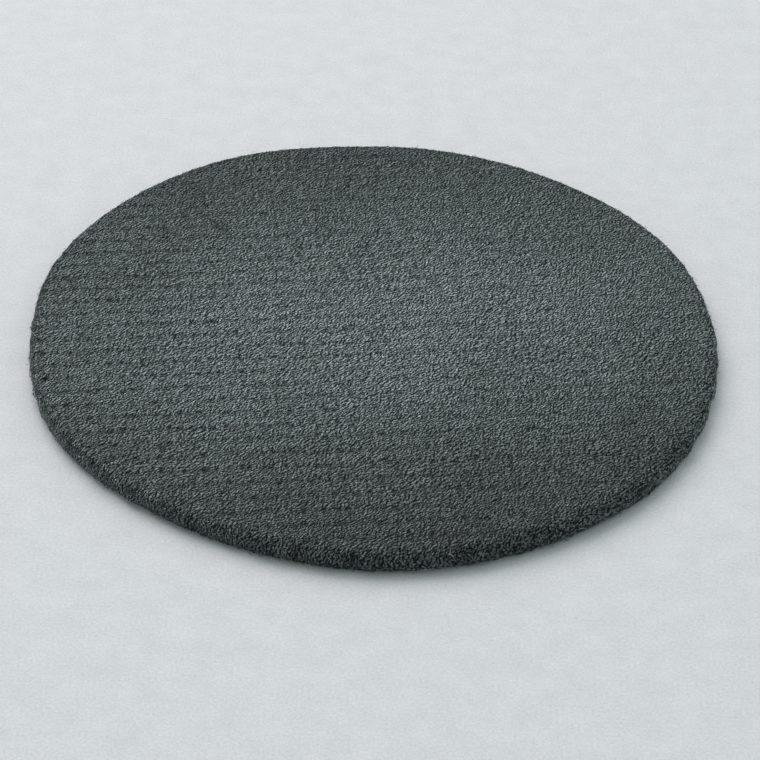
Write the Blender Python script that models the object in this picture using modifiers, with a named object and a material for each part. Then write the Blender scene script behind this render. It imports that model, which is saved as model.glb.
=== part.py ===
"""Steel wool floor pad: one disc of needle-punched steel wool felt, cut out nearly round.

Metres, +Z up. The pad lies flat on z = 0 with its middle at the origin, and both faces are alike,
so it can be turned over when one side is worn.
"""

import math

import bmesh
import bpy

# Driving dimensions.
DIAMETER = 0.432
THICKNESS = 0.016
EDGE_ROUNDING = 0.005

# The outline strays from a true circle in slow waves, as felt does when it is cut by a worn die:
# each is (waves in one turn, height, where the first crest lies in degrees from +X).
RIM_WAVES = (
    (3, 0.0007, 35.0),
    (4, 0.0009, 35.0),
    (5, 0.0005, 60.0),
    (6, 0.0006, 30.0),
    (7, 0.0006, 16.0),
    (8, 0.0005, 31.0),
    (9, 0.0004, 39.0),
)

# How finely the round shapes are divided.
RIM_POINTS = 144
ROUNDING_SEGMENTS = 4
SHARPEST_SMOOTH_EDGE = math.radians(40)

STEEL_GREY = (0.085, 0.098, 0.098, 1.0)


def clear_scene():
    """Removes whatever the file held before."""
    for old in list(bpy.data.objects):
        bpy.data.objects.remove(old, do_unlink=True)


def new_collection(name):
    """Returns a new collection, linked to the scene."""
    collection = bpy.data.collections.new(name)
    bpy.context.scene.collection.children.link(collection)
    return collection


def rim_radius(angle):
    """Radius of the outline at an angle: the mean radius and the sum of its slow waves."""
    radius = DIAMETER / 2
    for count, height, crest in RIM_WAVES:
        radius += height * math.cos(count * (angle - math.radians(crest)))
    return radius


def steel_wool():
    """Dull grey steel fibres, felted too densely to mirror anything."""
    material = bpy.data.materials.new("steel_wool")
    material.use_nodes = True
    shader = material.node_tree.nodes["Principled BSDF"]
    shader.inputs["Base Color"].default_value = STEEL_GREY
    shader.inputs["Metallic"].default_value = 0.7
    shader.inputs["Roughness"].default_value = 0.6
    material.diffuse_color = STEEL_GREY
    return material


def wool_pad(collection):
    """The felted disc: a cylinder whose rim follows the cut outline, with both edges rounded."""
    mesh = bpy.data.meshes.new("wool_pad")
    disc = bmesh.new()
    bmesh.ops.create_cone(
        disc,
        cap_ends=True,
        segments=RIM_POINTS,
        radius1=DIAMETER / 2,
        radius2=DIAMETER / 2,
        depth=THICKNESS,
    )
    for vertex in disc.verts:
        angle = math.atan2(vertex.co.y, vertex.co.x)
        vertex.co.x = rim_radius(angle) * math.cos(angle)
        vertex.co.y = rim_radius(angle) * math.sin(angle)
    for axis in (0, 1):
        low = min(vertex.co[axis] for vertex in disc.verts)
        high = max(vertex.co[axis] for vertex in disc.verts)
        for vertex in disc.verts:
            vertex.co[axis] -= (low + high) / 2
    bmesh.ops.translate(disc, verts=disc.verts, vec=(0, 0, THICKNESS / 2))
    disc.to_mesh(mesh)
    disc.free()
    mesh.materials.append(steel_wool())

    pad = bpy.data.objects.new("wool_pad", mesh)
    collection.objects.link(pad)
    rounding = pad.modifiers.new("pressed edges", "BEVEL")
    rounding.width = EDGE_ROUNDING
    rounding.segments = ROUNDING_SEGMENTS
    rounding.limit_method = "ANGLE"
    rounding.angle_limit = SHARPEST_SMOOTH_EDGE
    mesh.shade_smooth()
    mesh.set_sharp_from_angle(angle=SHARPEST_SMOOTH_EDGE)
    return pad


def main():
    clear_scene()
    wool_pad(new_collection("steel_wool_pad"))


main()
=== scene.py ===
# %% [markdown]
# # A steel wool floor pad
#
# This lesson dresses one object: a round pad of steel wool, as wide as a floor machine and about as
# thick as a finger. The real pad is a felt. Long shavings of steel are combed into a web, the web is
# laid up in layers, barbed needles drive the shavings through one another, and a die cuts the disc.
# There is no backing and no hub, so everything that is seen is wool.
#
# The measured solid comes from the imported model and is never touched. It gives the place, the
# thickness and the cut outline, and the wool is built around it.

import math

import bpy
import numpy as np
from mathutils import Matrix, Vector


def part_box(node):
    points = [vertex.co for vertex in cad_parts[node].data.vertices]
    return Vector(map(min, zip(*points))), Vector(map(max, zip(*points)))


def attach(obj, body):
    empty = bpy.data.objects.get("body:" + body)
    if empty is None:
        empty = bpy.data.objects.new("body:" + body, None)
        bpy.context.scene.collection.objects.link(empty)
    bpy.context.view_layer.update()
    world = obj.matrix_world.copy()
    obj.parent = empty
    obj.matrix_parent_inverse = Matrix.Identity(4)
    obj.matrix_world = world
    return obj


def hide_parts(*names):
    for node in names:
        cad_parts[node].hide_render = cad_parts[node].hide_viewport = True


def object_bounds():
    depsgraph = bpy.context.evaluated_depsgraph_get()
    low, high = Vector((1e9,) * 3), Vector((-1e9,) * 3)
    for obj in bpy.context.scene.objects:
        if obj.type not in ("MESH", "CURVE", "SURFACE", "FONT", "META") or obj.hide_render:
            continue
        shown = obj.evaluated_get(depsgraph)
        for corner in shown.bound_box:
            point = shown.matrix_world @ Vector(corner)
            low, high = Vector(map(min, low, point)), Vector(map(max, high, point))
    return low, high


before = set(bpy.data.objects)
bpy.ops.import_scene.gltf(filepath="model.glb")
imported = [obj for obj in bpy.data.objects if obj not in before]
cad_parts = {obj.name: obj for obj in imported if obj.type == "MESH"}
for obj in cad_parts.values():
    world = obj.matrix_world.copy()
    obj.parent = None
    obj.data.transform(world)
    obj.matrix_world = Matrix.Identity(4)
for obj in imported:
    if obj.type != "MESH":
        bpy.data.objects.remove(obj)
cad_low, cad_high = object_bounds()
MM = 0.001
print("solid, mm:", [round(side / MM, 1) for side in cad_high - cad_low])

# %% [markdown]
# ## The camera
#
# A long lens from about a metre and a half away keeps the disc an almost true ellipse. The camera
# stands in front and a little over a third of the way up to overhead, and leans slightly, so that
# the right side of the pad hangs a touch lower in the picture. Its three axes are worked out one
# by one and put in a matrix, because a lean is easier to write that way than as three angles.

# %% Camera
LENS_MM = 123.2
AIM = Vector((0.0044, -0.0333, 0.0))
DISTANCE = 1.6064
ELEVATION = math.radians(37.4)
LEAN = math.radians(2.4)


def add_camera(aim, distance, elevation, lean):
    """A camera that looks at aim from the front (-Y), raised by elevation and turned by lean."""
    backward = Vector((0, -math.cos(elevation), math.sin(elevation)))
    level_right = Vector((1, 0, 0))
    level_up = backward.cross(level_right)
    right = level_right * math.cos(lean) + level_up * math.sin(lean)
    up = level_up * math.cos(lean) - level_right * math.sin(lean)
    camera = bpy.data.objects.new("camera", bpy.data.cameras.new("camera"))
    bpy.context.scene.collection.objects.link(camera)
    camera.data.lens = LENS_MM
    axes = Matrix((right, up, backward)).transposed().to_4x4()
    camera.matrix_world = Matrix.Translation(aim + backward * distance) @ axes
    bpy.context.scene.camera = camera
    return camera


camera = add_camera(AIM, DISTANCE, ELEVATION, LEAN)
print("camera at", [round(c, 3) for c in camera.location])

# %% [markdown]
# ## The cut outline
#
# The die leaves an edge that is round only on average. The solid already holds its slow waves, so
# they are read back from the upright part of its wall instead of being written a second time:
# the wall's points are sorted by angle, and the radius at any angle is found between two of them.

# %% Outline of the solid
corner_low, corner_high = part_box("wool_pad")
THICKNESS = corner_high.z - corner_low.z
MIDDLE = (corner_high.z + corner_low.z) / 2


def wall_points(mesh):
    """Angles and radii of the points of the upright wall, the ones nearest to half height."""
    points = np.empty(len(mesh.vertices) * 3)
    mesh.vertices.foreach_get("co", points)
    points = points.reshape(-1, 3)
    off_middle = np.abs(points[:, 2] - MIDDLE)
    wall = points[off_middle < off_middle.min() + 0.1 * MM]
    wall = wall[np.hypot(wall[:, 0], wall[:, 1]) > corner_high.x / 2]
    angle = np.arctan2(wall[:, 1], wall[:, 0])
    order = np.argsort(angle)
    return angle[order], np.hypot(wall[:, 0], wall[:, 1])[order]


wall_angle, wall_radius = wall_points(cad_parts["wool_pad"].data)


def outline(angle):
    """Radius of the cut edge at an angle, read between the wall's own points."""
    return np.interp(angle, wall_angle, wall_radius, period=2 * math.pi)


MEAN_RADIUS = float(wall_radius.mean())
print("mean radius, mm:", round(MEAN_RADIUS / MM, 1), "from", len(wall_angle), "points")

# %% [markdown]
# ## Smooth randomness
#
# Felt is uneven in a soft way. A few dozen plane waves that run in random directions add up to a
# smooth landscape, and their wavelength sets how wide its hills are. It is a formula, so the body
# and every strand that lies on it can ask for the height at any point and always agree.

# %% Landscapes made of plane waves
def landscape(wavelength, seed, waves=36):
    """Returns f(x, y), a smooth random height with a spread of one.

    It is the sum of cos(k * p + phase) over plane waves whose directions and phases are random and
    whose wavelengths lie around the one asked for, divided so that its standard deviation is 1."""
    rng = np.random.default_rng(seed)
    heading = rng.uniform(0, 2 * math.pi, waves)
    pitch = 2 * math.pi / (wavelength * rng.uniform(0.7, 1.5, waves))
    phase = rng.uniform(0, 2 * math.pi, waves)

    def height(x, y):
        total = np.zeros(np.shape(x))
        for turn, steep, start in zip(heading, pitch, phase):
            total += np.cos(steep * (x * math.cos(turn) + y * math.sin(turn)) + start)
        return total * math.sqrt(2 / waves)

    return height


broad_hills = landscape(90 * MM, seed=3)
lumps = landscape(22 * MM, seed=4)
tufts = landscape(7 * MM, seed=5)
rim_wobble = landscape(16 * MM, seed=6)

# %% [markdown]
# ## Needle marks
#
# The loom's needles leave rows of small pits, because each stroke drags a pinch of fibre down into
# the felt. The rows are about 13 mm apart and lean a few degrees, the pits in a row are half as
# far apart again, and every second pit is deeper. None is exactly in its place, so each gets its
# own shift and strength from a table of random numbers with one entry for each lattice place.

# %% Needle marks
ROW_TURN = math.radians(7.5)
ROW_PITCH = 13.2 * MM
PIT_PITCH = 6.6 * MM
PIT_RADIUS = 1.25 * MM
PIT_SHIFT = 0.7 * MM
LATTICE = 80
rng = np.random.default_rng(11)
pit_shift = rng.normal(0, PIT_SHIFT, (2, LATTICE, LATTICE)).clip(-1.6 * MM, 1.6 * MM)
pit_strength = rng.uniform(0.5, 1.05, (LATTICE, LATTICE))
pit_strength[::2] *= 0.8


def pits(x, y):
    """How deep a point lies in a needle mark, from 0 to about 1.

    The point is turned into the lattice's own directions. For the nearest place in its row and the
    two beside it, the depth is a bell curve of the distance to that place after its shift. The
    marks show best on the left of the pad, and fade towards the far right."""
    along = x * math.cos(ROW_TURN) + y * math.sin(ROW_TURN)
    across = y * math.cos(ROW_TURN) - x * math.sin(ROW_TURN)
    row = np.rint(across / ROW_PITCH).astype(int)
    nearest = np.rint(along / PIT_PITCH).astype(int)
    depth = np.zeros(np.shape(x))
    for step in (-1, 0, 1):
        place = nearest + step
        i, j = place % LATTICE, row % LATTICE
        off_along = along - place * PIT_PITCH - pit_shift[0, i, j]
        off_across = across - row * ROW_PITCH - pit_shift[1, i, j]
        distance = np.hypot(off_along, off_across) / PIT_RADIUS
        depth += pit_strength[i, j] * np.exp(-0.5 * distance ** 2)
    show = np.clip(0.85 - 0.42 * (x + 0.7 * y) / MEAN_RADIUS, 0.3, 1.2)
    return depth * show


# %% [markdown]
# ## The two faces and the rolled edge
#
# The faces are flat on the whole and uneven in the small. Near the edge both faces bend round to
# meet at half height. The bend is a quarter of a superellipse, which is flatter at its ends than a
# quarter circle, because the die presses a felt's corner round but leaves its wall upright.
# The body is kept a little inside the solid, and the loose strands fill the rest.

# %% Heights of the upper and the lower face
ROLL = 8 * MM
SQUARENESS = 2.6
SKIN = 0.7 * MM
PIT_DEPTH = 0.9 * MM


def edge_fall(x, y):
    """1 on the flat of the pad, falling to 0 at the outline along a quarter superellipse."""
    radius = np.hypot(x, y)
    inset = outline(np.arctan2(y, x)) - ROLL
    reach = np.clip((radius - inset) / ROLL, 0, 1)
    return (1 - reach ** SQUARENESS) ** (1 / SQUARENESS)


def upper_face(x, y):
    """Height of the upper face before it rolls over: flat, with hills, lumps, tufts and pits."""
    relief = 0.2 * broad_hills(x, y) + 0.06 * lumps(x, y) + 0.04 * tufts(x, y)
    return THICKNESS - SKIN + relief * MM - PIT_DEPTH * pits(x, y)


def lower_face(x, y):
    """Height of the lower face: it lies on the floor, and lifts a little at the edge in places."""
    angle = np.arctan2(y, x)
    near_edge = np.clip((np.hypot(x, y) / outline(angle) - 0.9) / 0.1, 0, 1) ** 2
    scallop = np.clip(np.cos(9 * angle + 1.1) + 0.8 * np.cos(14 * angle), 0, None)
    relief = 0.15 * np.abs(lumps(y, x)) + 0.1 * np.abs(tufts(y, x))
    return SKIN + relief * MM + 0.8 * MM * scallop * near_edge + PIT_DEPTH * 0.5 * pits(x, -y)


def top_height(x, y):
    """Height of the rolled-over surface seen from above."""
    return MIDDLE + (upper_face(x, y) - MIDDLE) * edge_fall(x, y)


def bottom_height(x, y):
    """Height of the rolled-under surface seen from below."""
    return MIDDLE - (MIDDLE - lower_face(x, y)) * edge_fall(x, y)


# %% [markdown]
# ## Painted sheen and shade on the wool
#
# A long pale patch of painted sheen lies across the middle of the pad, and painted shade makes the
# wool darker towards the front. A needle mark is a hole that light doesn't leave, so its darkening
# is painted shade. All are worked out here as one painted share of light, which every point of the
# wool will carry. The lower face has the same patch.

# %% Painted share of light
PATCH_TURN = math.radians(14.5)
PATCH_MIDDLE = (19 * MM, 5 * MM)
PATCH_LENGTH = 246 * MM
PATCH_WIDTH = 134 * MM
PATCH_RISE = 0.87
PLAIN_SHARE = 0.59
RISE_TO_BACK = 0.37
MARK_SHADE = 0.68


def painted_light_share(x, y, z):
    """How bright the painted light makes the wool at a point, about 1 on average.

    It is a bell-shaped rise of painted sheen over the pale patch, plus a slight slope from front to
    back that paints shade at the front, and soft clouds, times painted shade that falls to a third in
    the middle of a needle mark. Marks are on the two faces and not on the wall, and those below lie
    where the lower face has its pits."""
    off_x, off_y = x - PATCH_MIDDLE[0], y - PATCH_MIDDLE[1]
    along = off_x * math.cos(PATCH_TURN) + off_y * math.sin(PATCH_TURN)
    across = off_y * math.cos(PATCH_TURN) - off_x * math.sin(PATCH_TURN)
    patch = np.exp(-(along / PATCH_LENGTH) ** 2 - (across / PATCH_WIDTH) ** 2)
    clouds = 0.03 * broad_hills(y, x) + 0.02 * lumps(y, x)
    # Painted sheen over the middle and painted shade towards the front, with soft clouds.
    pale = PLAIN_SHARE + PATCH_RISE * patch + RISE_TO_BACK * y + clouds
    marks = np.where(z > MIDDLE, pits(x, y), pits(x, -y)) * edge_fall(x, y)
    # Painted shade in the needle marks.
    return pale * (1 - MARK_SHADE * np.clip(marks / 0.8, 0, 1))


# %% [markdown]
# ## The body
#
# A disc could be a fan of slices, but that packs its middle with needles of triangles. A square
# grid bent round into a disc has cells of nearly one size everywhere, and its edge points are
# evenly spaced, which is what a rim needs. The upper face gets a fine grid for the pits. The
# under face gets one half as fine, and on the way down the rim one band of triangles joins the two.

# %% A square grid bent into a disc
FINE = 264
COARSE = FINE // 2


def disc_grid(cells):
    """Points of a disc of radius 1 from a square grid, as two arrays of (cells + 1) squared.

    A point's larger coordinate becomes its radius, and the ratio of the two its angle, so the
    grid's square rings become circles."""
    line = np.linspace(-1, 1, cells + 1)
    a, b = np.meshgrid(line, line, indexing="ij")
    sideways = np.abs(a) > np.abs(b)
    radius = np.where(sideways, a, b)
    divisor = np.where(radius == 0, 1, radius)
    angle = np.where(sideways, math.pi / 4 * b / divisor, math.pi / 2 - math.pi / 4 * a / divisor)
    return (radius * np.cos(angle)).ravel(), (radius * np.sin(angle)).ravel()


def grid_quads(cells):
    """Corner indices of the grid's cells, anticlockwise seen from above."""
    corner = np.arange(cells)[:, None] * (cells + 1) + np.arange(cells)[None, :]
    corner = corner.ravel()
    return np.stack([corner, corner + cells + 1, corner + cells + 2, corner + 1], axis=1)


def grid_edge(cells):
    """Indices of the grid's outer points, anticlockwise from the corner at -45 degrees."""
    step = np.arange(cells)
    end = np.full(cells, cells)
    i = np.concatenate([end, cells - step, 0 * step, step])
    j = np.concatenate([step, end, cells - step, 0 * step])
    return i * (cells + 1) + j


def halves(quads):
    """Each quad as two triangles that turn the same way."""
    return np.concatenate([quads[:, [0, 1, 2]], quads[:, [0, 2, 3]]])


def band(upper, lower):
    """Triangles between two rings of as many points, facing outwards."""
    return halves(np.stack([upper, lower, np.roll(lower, -1), np.roll(upper, -1)], axis=1))


def joining_band(fine, coarse):
    """Triangles between a ring and one below it of half as many points, three for each of its steps."""
    first, middle, last = fine[0::2], fine[1::2], np.roll(fine, -2)[0::2]
    after = np.roll(coarse, -1)
    rows = ([first, coarse, middle], [middle, coarse, after], [middle, after, last])
    return np.concatenate([np.stack(row, axis=1) for row in rows])


print("body grid, mm:", round(2 * MEAN_RADIUS / FINE / MM, 2))


# %% [markdown]
# The rim is a family of rings. A ring's fold runs from 0 where the upper face ends to 180 degrees
# where the lower face begins, and the same superellipse gives its place, so faces and rim meet.

# %% The rim's surface
WALL_SWELL = 0.45 * MM
WALL_INSET = 0.4 * MM


def rim_point(angle, fold, proud):
    """Points on the rolled edge at an angle round the pad and a fold from the upper face (0) over
    the wall (90 degrees) to the lower face (180), standing proud of it by a distance."""
    across = np.abs(np.sin(fold)) ** (2 / SQUARENESS)
    upright = np.abs(np.cos(fold)) ** (2 / SQUARENESS)
    radius = outline(angle) - ROLL + ROLL * across
    x, y = radius * np.cos(angle), radius * np.sin(angle)
    face = np.where(np.cos(fold) > 0, upper_face(x, y), lower_face(x, y))
    height = MIDDLE + (face - MIDDLE) * upright
    run = angle * MEAN_RADIUS
    swell = WALL_SWELL * rim_wobble(run, 9 * MM * fold) * np.sin(fold) ** 2
    grow = (swell + proud - WALL_INSET) * np.sin(fold)
    x, y = x + grow * np.cos(angle), y + grow * np.sin(angle)
    return np.stack([x, y, height + proud * np.cos(fold)], axis=-1)


def wool_object(name, points, triangles, **values):
    """A mesh object from arrays of points and triangles. Its points carry their painted share of light,
    and any other named numbers."""
    points = points.reshape(-1, 3)
    mesh = bpy.data.meshes.new(name)
    mesh.from_pydata(points, [], triangles)
    # The light attribute is painted sheen and painted shade, not the wool's own colour.
    values["light"] = painted_light_share(*points.T)
    for title, numbers in values.items():
        layer = mesh.attributes.new(title, "FLOAT", "POINT")
        layer.data.foreach_set("value", np.ravel(numbers).astype(np.float32))
    made = bpy.data.objects.new(name, mesh)
    bpy.context.scene.collection.objects.link(made)
    return made


def volume(points, triangles):
    """Volume inside closed triangles, positive when they face outwards."""
    a, b, c = (points.reshape(-1, 3)[triangles[:, k]] for k in range(3))
    return float((a * np.cross(b, c)).sum() / 6)


# %% Felt body
def felt_body():
    """The closed body: a fine upper face, rings round the rim, and a coarser lower face."""
    x, y = disc_grid(FINE)
    angle, reach = np.arctan2(y, x), np.hypot(x, y)
    radius = reach * (outline(angle) - ROLL)
    x, y = radius * np.cos(angle), radius * np.sin(angle)
    upper = np.stack([x, y, upper_face(x, y)], axis=1)

    x, y = disc_grid(COARSE)
    angle, reach = np.arctan2(y, x), np.hypot(x, y)
    radius = reach * (outline(angle) - ROLL)
    x, y = radius * np.cos(angle), radius * np.sin(angle)
    lower = np.stack([x, y, lower_face(x, y)], axis=1)

    fine_angle = -math.pi / 4 + np.arange(4 * FINE) * 2 * math.pi / (4 * FINE)
    fine_folds = np.radians([22, 42, 60, 78, 96])
    coarse_folds = np.radians([118, 140, 160])
    fine_rings = [rim_point(fine_angle, fold, 0.0) for fold in fine_folds]
    coarse_rings = [rim_point(fine_angle[::2], fold, 0.0) for fold in coarse_folds]
    points = np.concatenate([upper, *fine_rings, *coarse_rings, lower])

    start = len(upper)
    ring = grid_edge(FINE)
    triangles = [halves(grid_quads(FINE))]
    for _ in fine_rings:
        below = np.arange(start, start + len(fine_angle))
        triangles.append(band(ring, below))
        ring, start = below, start + len(below)
    for number, _ in enumerate(coarse_rings):
        below = np.arange(start, start + len(fine_angle) // 2)
        triangles.append(band(ring, below) if number else joining_band(ring, below))
        ring, start = below, start + len(below)
    triangles.append(band(ring, start + grid_edge(COARSE)))
    triangles.append(halves(start + grid_quads(COARSE))[:, ::-1])
    triangles = np.concatenate(triangles)
    print("body triangles:", len(triangles), " litres:", round(volume(points, triangles) * 1000, 3))
    made = wool_object("felt_body", points, triangles)
    made.data.shade_smooth()
    return made


body = felt_body()

# %% [markdown]
# ## Strands
#
# A long shaving dives in and out of the felt, and only the stretches that surface are worth
# making. A strand here is a spine of a few points. Its two ends are single points, and each one in
# between carries a triangle. A strand of three points has 6 faces, one of six points has 24, and
# both are closed: cheap enough to strew tens of thousands of them, and each is a true solid.

# %% Strands from spines
def strand_faces(rings):
    """Triangles of one strand of so many rings of three points, with its two tips numbered last."""
    first_tip, last_tip = 3 * rings, 3 * rings + 1
    faces = []
    for corner, following in ((0, 1), (1, 2), (2, 0)):
        faces.append([first_tip, corner, following])
        for ring in range(0, 3 * rings - 3, 3):
            faces.append([ring + corner, ring + 3 + corner, ring + 3 + following])
            faces.append([ring + corner, ring + 3 + following, ring + following])
        end = 3 * rings - 3
        faces.append([last_tip, end + following, end + corner])
    return np.array(faces)


def strands(name, spine, outward, half_width, tone):
    """Makes one object of many strands from an array of spines, (strands, points, 3).

    At each inner point a triangle is set square to the spine's direction: its corners are
    half_width away at 90, 210 and 330 degrees, counted from the side towards outward, and it is
    flattened to two thirds. tone is one number for each strand."""
    count, length = spine.shape[:2]
    along = np.gradient(spine, axis=1)
    along /= np.linalg.norm(along, axis=2, keepdims=True)
    side = np.cross(along, outward)
    side /= np.linalg.norm(side, axis=2, keepdims=True)
    over = np.cross(side, along)
    corner = np.radians([90, 210, 330])[None, None, :, None]
    reach = half_width[:, None, None, None]
    ring = spine[:, 1:-1, None] + reach * (
        np.cos(corner) * side[:, 1:-1, None] + 0.66 * np.sin(corner) * over[:, 1:-1, None]
    )
    points = np.concatenate([ring.reshape(count, -1, 3), spine[:, [0, -1]]], axis=1)
    each = points.shape[1]
    faces = strand_faces(length - 2)
    triangles = (np.arange(count)[:, None, None] * each + faces).reshape(-1, 3)
    made = wool_object(name, points, triangles, tone=np.repeat(tone, each))
    filled = volume(points, triangles)
    print(name, "strands:", count, " triangles:", len(triangles), " cm3:", round(filled * 1e6, 2))
    return made


# %% [markdown]
# The web was combed before it was laid up, so most strands run the same way, away from the front
# and a little to the right, and the rest lie anyhow. A strand's heading turns steadily along its
# length and wags once, and adding up short steps along that heading gives its spine.

# %% Headings
COMBED = math.radians(62)
TUCK = 0.12 * MM


def courses(rng, length, points, spread, stray, turn):
    """Plan courses of many strands, as two arrays (strands, points) around a middle at 0.

    The heading at the middle is the combed one with a normal spread, or any at all for the stray
    share. It turns by a normal amount in all and wags as one sine wave."""
    count = len(length)
    heading = COMBED + rng.normal(0, spread, count)
    any_way = rng.random(count) < stray
    heading = np.where(any_way, rng.uniform(0, math.pi, count), heading)
    bend = rng.normal(0, turn, count)
    wag = rng.normal(0, 0.4 * turn, count)
    phase = rng.uniform(0, 2 * math.pi, count)
    at = (np.arange(points - 1) + 0.5) / (points - 1) - 0.5
    way = heading[:, None] + bend[:, None] * at
    way += wag[:, None] * np.sin(2 * math.pi * at + phase[:, None])
    step = length[:, None] / (points - 1)
    start = np.zeros((count, 1))
    x = np.concatenate([start, np.cumsum(step * np.cos(way), axis=1)], axis=1)
    y = np.concatenate([start, np.cumsum(step * np.sin(way), axis=1)], axis=1)
    return x - x.mean(1, keepdims=True), y - y.mean(1, keepdims=True)


def lift(rng, count, points, proud):
    """How far each spine point stands above the felt: a half sine whose ends are tucked under."""
    rise = rng.exponential(proud, count)[:, None]
    arch = np.sin(math.pi * np.arange(points) / (points - 1))[None, :]
    return rise * arch - TUCK * (1 - arch)


# %% Strands of the upper face
GOLDEN_ANGLE = math.pi * (3 - math.sqrt(5))


def sunflower(rng, count):
    """Angles and shares of the radius that cover a disc evenly, like the seeds of a sunflower.

    Each place lies a golden angle on from the last and at the square root of its number, which
    gives every one the same area, and then shifts at random by up to half of its own spacing."""
    number = np.arange(count) + rng.random(count)
    share = np.sqrt(number / count)
    shift = rng.normal(0, 0.8 / math.sqrt(count), count)
    angle = number.astype(int) * GOLDEN_ANGLE + rng.uniform(0, 2 * math.pi) + shift / share
    return np.arctan2(np.sin(angle), np.cos(angle)), share


def upper_strands(name, seed, count, points, length_mm, width_mm, proud, spread, stray, turn):
    """A piece of strands strewn evenly over the upper face and its rolled edge."""
    rng = np.random.default_rng(seed)
    angle, share = sunflower(rng, count)
    radius = (outline(angle) - 1.0 * MM) * share
    length = rng.lognormal(math.log(length_mm * MM), 0.25, count)
    dx, dy = courses(rng, length, points, math.radians(spread), stray, math.radians(turn))
    x = radius[:, None] * np.cos(angle)[:, None] + dx
    y = radius[:, None] * np.sin(angle)[:, None] + dy
    reach, way = np.hypot(x, y), np.arctan2(y, x)
    reach = np.minimum(reach, outline(way) - 0.3 * MM)
    x, y = reach * np.cos(way), reach * np.sin(way)
    z = top_height(x, y) + lift(rng, count, points, proud)
    spine = np.stack([x, y, z], axis=2)
    half_width = rng.lognormal(math.log(width_mm * MM / 2), 0.3, count)
    return strands(name, spine, np.array([0.0, 0.0, 1.0]), half_width, rng.random(count))


upper_wool = [
    upper_strands("upper_wool_1", 21, 33000, 3, 2.8, 0.32, 0.10 * MM, 16, 0.10, 25),
    upper_strands("upper_wool_2", 22, 33000, 3, 3.4, 0.26, 0.16 * MM, 22, 0.15, 35),
    upper_strands("upper_wool_3", 23, 8200, 6, 7.0, 0.24, 0.25 * MM, 35, 0.30, 80),
]


# %% Strands of the rim and of the under face
FREE_SHARE = 0.2
FLOOR_GAP = 0.3 * MM


def rim_strands(name, seed, count, points):
    """A piece of strands round the wall. They lie mostly along it, and some ends stand out free."""
    rng = np.random.default_rng(seed)
    middle = rng.uniform(-math.pi, math.pi, count)
    fold = np.radians(rng.uniform(35, 150, count))
    length = rng.lognormal(math.log(7 * MM), 0.3, count)
    dx, dy = courses(rng, length, points, math.radians(90), 0.5, math.radians(60))
    angle = middle[:, None] + 0.8 * dx / MEAN_RADIUS
    folds = np.clip(fold[:, None] + dy / (12 * MM), math.radians(20), math.radians(158))
    free = (rng.random(count) < FREE_SHARE)[:, None]
    loose = np.linspace(-0.5, 1.0, points)[None, :] * rng.exponential(0.9 * MM, count)[:, None]
    proud = np.where(free, loose, lift(rng, count, points, 0.25 * MM))
    spine = rim_point(angle, folds, np.minimum(proud, 3.0 * MM))
    spine[..., 2] = np.maximum(spine[..., 2], FLOOR_GAP)
    outward = np.stack([np.cos(angle), np.sin(angle), 0.6 * np.cos(folds)], axis=2)
    half_width = rng.lognormal(math.log(0.11 * MM), 0.3, count)
    return strands(name, spine, outward, half_width, rng.random(count))


def lower_strands(name, seed, count, points):
    """A piece of strands on the under face, pressed flat by the pad's own weight."""
    rng = np.random.default_rng(seed)
    angle, share = sunflower(rng, count)
    radius = (outline(angle) - 4 * MM) * share
    length = rng.lognormal(math.log(9 * MM), 0.25, count)
    dx, dy = courses(rng, length, points, math.radians(30), 0.3, math.radians(50))
    x = radius[:, None] * np.cos(angle)[:, None] + dx
    y = radius[:, None] * np.sin(angle)[:, None] + dy
    z = bottom_height(x, y) - lift(rng, count, points, 0.2 * MM)
    spine = np.stack([x, y, np.maximum(z, 0.25 * MM)], axis=2)
    half_width = rng.lognormal(math.log(0.16 * MM), 0.3, count)
    return strands(name, spine, np.array([0.0, 0.0, -1.0]), half_width, rng.random(count))


rim_wool = rim_strands("rim_wool", 31, 5000, 5)
lower_wool = lower_strands("lower_wool", 32, 8000, 4)

# %% [markdown]
# ## Steel
#
# Three things are multiplied for a strand's colour: its own tone, which is random, the painted
# share of light at its place, and the painted bright or dark flank of the small tuft it lies on.
# The body between the strands has the fine fibre pattern in place of a tone, drawn as painted
# glints on painted dark gaps. Light that enters wool bounces between strands and dies, so both
# are darker than polished steel.

# %% Helpers for node materials
def new_material(name):
    """An empty node material with its output and shader, and the shader's node tree."""
    material = bpy.data.materials.new(name)
    material.use_nodes = True
    return material, material.node_tree, material.node_tree.nodes["Principled BSDF"]


def node(tree, kind, **settings):
    """A node of a kind, with its own settings and its sockets' values by name."""
    made = tree.nodes.new(kind)
    for key, value in settings.items():
        if hasattr(made, key):
            setattr(made, key, value)
        else:
            made.inputs[key.replace("_", " ")].default_value = value
    return made


def ramp(tree, factor, *stops):
    """A colour ramp fed by factor, with stops of (place, grey or colour)."""
    made = tree.nodes.new("ShaderNodeValToRGB")
    elements = made.color_ramp.elements
    while len(elements) < len(stops):
        elements.new(0.5)
    for element, (place, shade) in zip(elements, stops):
        element.position = place
        element.color = (*shade, 1) if isinstance(shade, tuple) else (shade, shade, shade, 1)
    tree.links.new(factor, made.inputs["Fac"])
    return made.outputs["Color"]


def calculate(tree, operation, a, b=None, c=None):
    """One step of arithmetic on sockets or numbers."""
    made = tree.nodes.new("ShaderNodeMath")
    made.operation = operation
    for socket, value in zip(made.inputs, (a, b, c)):
        if hasattr(value, "is_output"):
            tree.links.new(value, socket)
        elif value is not None:
            socket.default_value = value
    return made.outputs["Value"]


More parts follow.
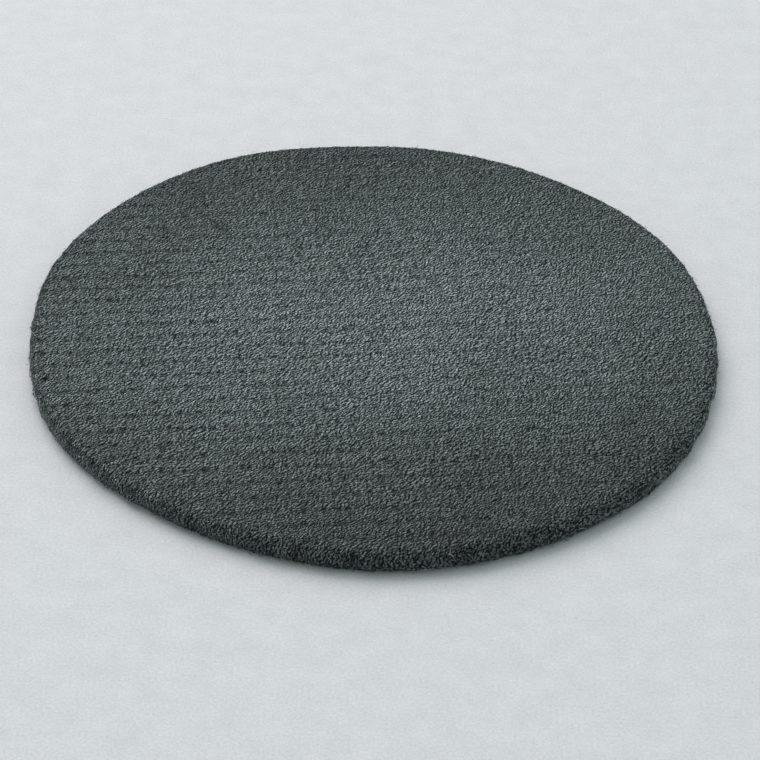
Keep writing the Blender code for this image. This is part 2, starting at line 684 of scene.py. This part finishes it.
def tinted(tree, tint, *factors):
    """A colour times any number of grey factors."""
    product = factors[0]
    for factor in factors[1:]:
        product = calculate(tree, "MULTIPLY", product, factor)
    made = tree.nodes.new("ShaderNodeVectorMath")
    made.operation = "SCALE"
    made.inputs[0].default_value = tint
    tree.links.new(product, made.inputs["Scale"])
    return made.outputs["Vector"]


STEEL_TINT = (0.86, 1.0, 1.01)


# %% Fibre patterns
COMBED_TURN = 50


def combed_place(tree, place, turn, width, length):
    """Coordinates for a pattern of fibres: turned by a direction, then divided by the length one
    way and the width the other, so that whatever is drawn on them is drawn out along it."""
    mapping = tree.nodes.new("ShaderNodeMapping")
    mapping.vector_type = "TEXTURE"
    mapping.inputs["Rotation"].default_value = (0, 0, math.radians(turn))
    mapping.inputs["Scale"].default_value = (length, width, width)
    tree.links.new(place, mapping.inputs["Vector"])
    return mapping.outputs["Vector"]


def painted_glints(tree, place, turn, width, length, bright):
    """Painted glints: bright spindles on a painted dark ground, each one glint of one fibre, drawn as
    the felt's fine fibre pattern.

    They are Voronoi cells. A cell's random grey goes through a ramp that keeps most cells dark,
    and is multiplied by a fall from the cell's middle to its edge."""
    cells = node(tree, "ShaderNodeTexVoronoi", Scale=1.0)
    tree.links.new(combed_place(tree, place, turn, width, length), cells.inputs["Vector"])
    split = tree.nodes.new("ShaderNodeSeparateColor")
    tree.links.new(cells.outputs["Color"], split.inputs["Color"])
    lit = ramp(tree, split.outputs["Red"], (0.0, 0.03), (bright, 0.18), (1.0, 1.0))
    core = ramp(tree, cells.outputs["Distance"], (0.15, 1.0), (0.75, 0.05))
    return calculate(tree, "MULTIPLY", lit, core)


def painted_tuft_shading(tree, place):
    """Painted light and shade on the small tufts of the felt: each has a painted bright flank and a
    painted dark one.

    The tufts are one octave of noise, which has a single size of hump and no broad patches. Its
    slope across the combed direction is the difference between two readings a little apart."""
    spread = combed_place(tree, place, COMBED_TURN, 1.3 * MM, 1.7 * MM)
    beside = node(tree, "ShaderNodeVectorMath")
    tree.links.new(spread, beside.inputs[0])
    beside.inputs[1].default_value = (0.0, 0.4, 0.0)
    readings = []
    for spot in (spread, beside.outputs["Vector"]):
        humps = node(tree, "ShaderNodeTexNoise", Scale=1.0, Detail=0.0)
        tree.links.new(spot, humps.inputs["Vector"])
        readings.append(humps.outputs["Fac"])
    slope = calculate(tree, "SUBTRACT", *readings)
    return ramp(tree, calculate(tree, "ADD", slope, 0.5), (0.40, 0.04), (0.61, 0.85))


# %% Strand steel
def strand_steel():
    """Steel of the loose strands: a tone of their own, times the painted share of light, times the
    painted tuft flank.
    """
    material, tree, shader = new_material("strand_steel")
    tone = node(tree, "ShaderNodeAttribute", attribute_name="tone").outputs["Fac"]
    # The light attribute holds the painted sheen and painted shade of the wool.
    light = node(tree, "ShaderNodeAttribute", attribute_name="light").outputs["Fac"]
    place = tree.nodes.new("ShaderNodeTexCoord").outputs["Object"]
    shade = ramp(tree, tone, (0.0, 0.02), (0.5, 0.14), (0.9, 0.8))
    colour = tinted(tree, STEEL_TINT, shade, light, painted_tuft_shading(tree, place))
    tree.links.new(colour, shader.inputs["Base Color"])
    shader.inputs["Metallic"].default_value = 0.85
    rough = ramp(tree, tone, (0.0, 0.6), (1.0, 0.38))
    tree.links.new(rough, shader.inputs["Roughness"])
    return material


# %% Felted steel of the body
def felt_steel():
    """Steel felt between the strands: painted glints in three directions, times the painted share of
    light and the painted tuft flank.
    """
    material, tree, shader = new_material("felt_steel")
    place = tree.nodes.new("ShaderNodeTexCoord").outputs["Object"]
    # The light attribute holds the painted sheen and painted shade of the wool.
    light = node(tree, "ShaderNodeAttribute", attribute_name="light").outputs["Fac"]
    glint = painted_glints(tree, place, COMBED_TURN, 0.32 * MM, 1.8 * MM, 0.55)
    for turn in (100, 25):
        crossed = painted_glints(tree, place, turn, 0.30 * MM, 1.4 * MM, 0.65)
        glint = calculate(tree, "MAXIMUM", glint, crossed)
    shade = ramp(tree, glint, (0.0, 0.01), (0.6, 0.6))
    colour = tinted(tree, STEEL_TINT, shade, light, painted_tuft_shading(tree, place))
    tree.links.new(colour, shader.inputs["Base Color"])
    shader.inputs["Metallic"].default_value = 0.8
    shader.inputs["Roughness"].default_value = 0.55
    bump = node(tree, "ShaderNodeBump", Strength=0.6, Distance=0.2 * MM)
    tree.links.new(glint, bump.inputs["Height"])
    tree.links.new(bump.outputs["Normal"], shader.inputs["Normal"])
    return material


loose_steel = strand_steel()
body.data.materials.append(felt_steel())
for piece in (*upper_wool, rim_wool, lower_wool):
    piece.data.materials.append(loose_steel)

# %% [markdown]
# ## Floor and light
#
# The pad lies on plain pale paper. One large soft lamp hangs high behind it and to the left, so the
# wall at the front and the floor on the right fall into soft shade. The surroundings are pale and
# slightly green, and the lamp is slightly pink, so between them the paper looks nearly neutral.

# %% Floor
FLOOR_HALF_SIDE = 9.0


def add_floor():
    """A wide square of pale, slightly mottled paper at the height of the solid's base."""
    mesh = bpy.data.meshes.new("floor")
    side = FLOOR_HALF_SIDE
    corners = [(-side, -side, 0), (side, -side, 0), (side, side, 0), (-side, side, 0)]
    mesh.from_pydata([(x, y, cad_low.z) for x, y, _ in corners], [], [(0, 1, 2, 3)])
    floor = bpy.data.objects.new("floor", mesh)
    bpy.context.scene.collection.objects.link(floor)
    material, tree, shader = new_material("pale_paper")
    place = tree.nodes.new("ShaderNodeTexCoord").outputs["Object"]
    clouds = node(tree, "ShaderNodeTexNoise", Scale=55.0, Detail=5.0, Roughness=0.65)
    grain = node(tree, "ShaderNodeTexNoise", Scale=620.0, Detail=1.0)
    tree.links.new(place, clouds.inputs["Vector"])
    tree.links.new(place, grain.inputs["Vector"])
    mixed = calculate(tree, "MULTIPLY", grain.outputs["Fac"], 0.6)
    mixed = calculate(tree, "MULTIPLY_ADD", clouds.outputs["Fac"], 0.4, mixed)
    shade = ramp(tree, mixed, (0.3, (0.60, 0.605, 0.632)), (0.7, (0.74, 0.745, 0.778)))
    tree.links.new(shade, shader.inputs["Base Color"])
    shader.inputs["Roughness"].default_value = 0.9
    mesh.materials.append(material)
    return floor


floor = add_floor()


# %% Light
LAMP_PLACE = (-1.4, 1.7, 3.4)
LAMP_SIZE = 3.8
LAMP_WATTS = 105.0
LAMP_TINT = (1.0, 0.93, 0.95)
ROOM_TINT = (0.89, 1.0, 0.965, 1)
ROOM_STRENGTH = 0.62


def add_lamp(name, place, aim, size, power):
    """A square soft lamp that faces a point."""
    light = bpy.data.lights.new(name, "AREA")
    light.shape = "SQUARE"
    light.size = size
    light.energy = power
    light.color = LAMP_TINT
    lamp = bpy.data.objects.new(name, light)
    bpy.context.scene.collection.objects.link(lamp)
    lamp.location = place
    lamp.rotation_euler = (Vector(aim) - Vector(place)).to_track_quat("-Z", "Y").to_euler()
    return lamp


add_lamp("key_lamp", LAMP_PLACE, (0, 0, 0), LAMP_SIZE, LAMP_WATTS)
world = bpy.data.worlds.new("pale_room")
world.use_nodes = True
world.node_tree.nodes["Background"].inputs["Color"].default_value = ROOM_TINT
world.node_tree.nodes["Background"].inputs["Strength"].default_value = ROOM_STRENGTH
bpy.context.scene.world = world
bpy.context.scene.view_settings.view_transform = "Standard"

# %% [markdown]
# ## Handing over
#
# Every piece of wool belongs to the one solid, so each rides on its body. The felt body stands in
# for the solid, a firmly filled pad.

# %% Ride and replace
for piece in (body, *upper_wool, rim_wool, lower_wool):
    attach(piece, "root")
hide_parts("wool_pad")
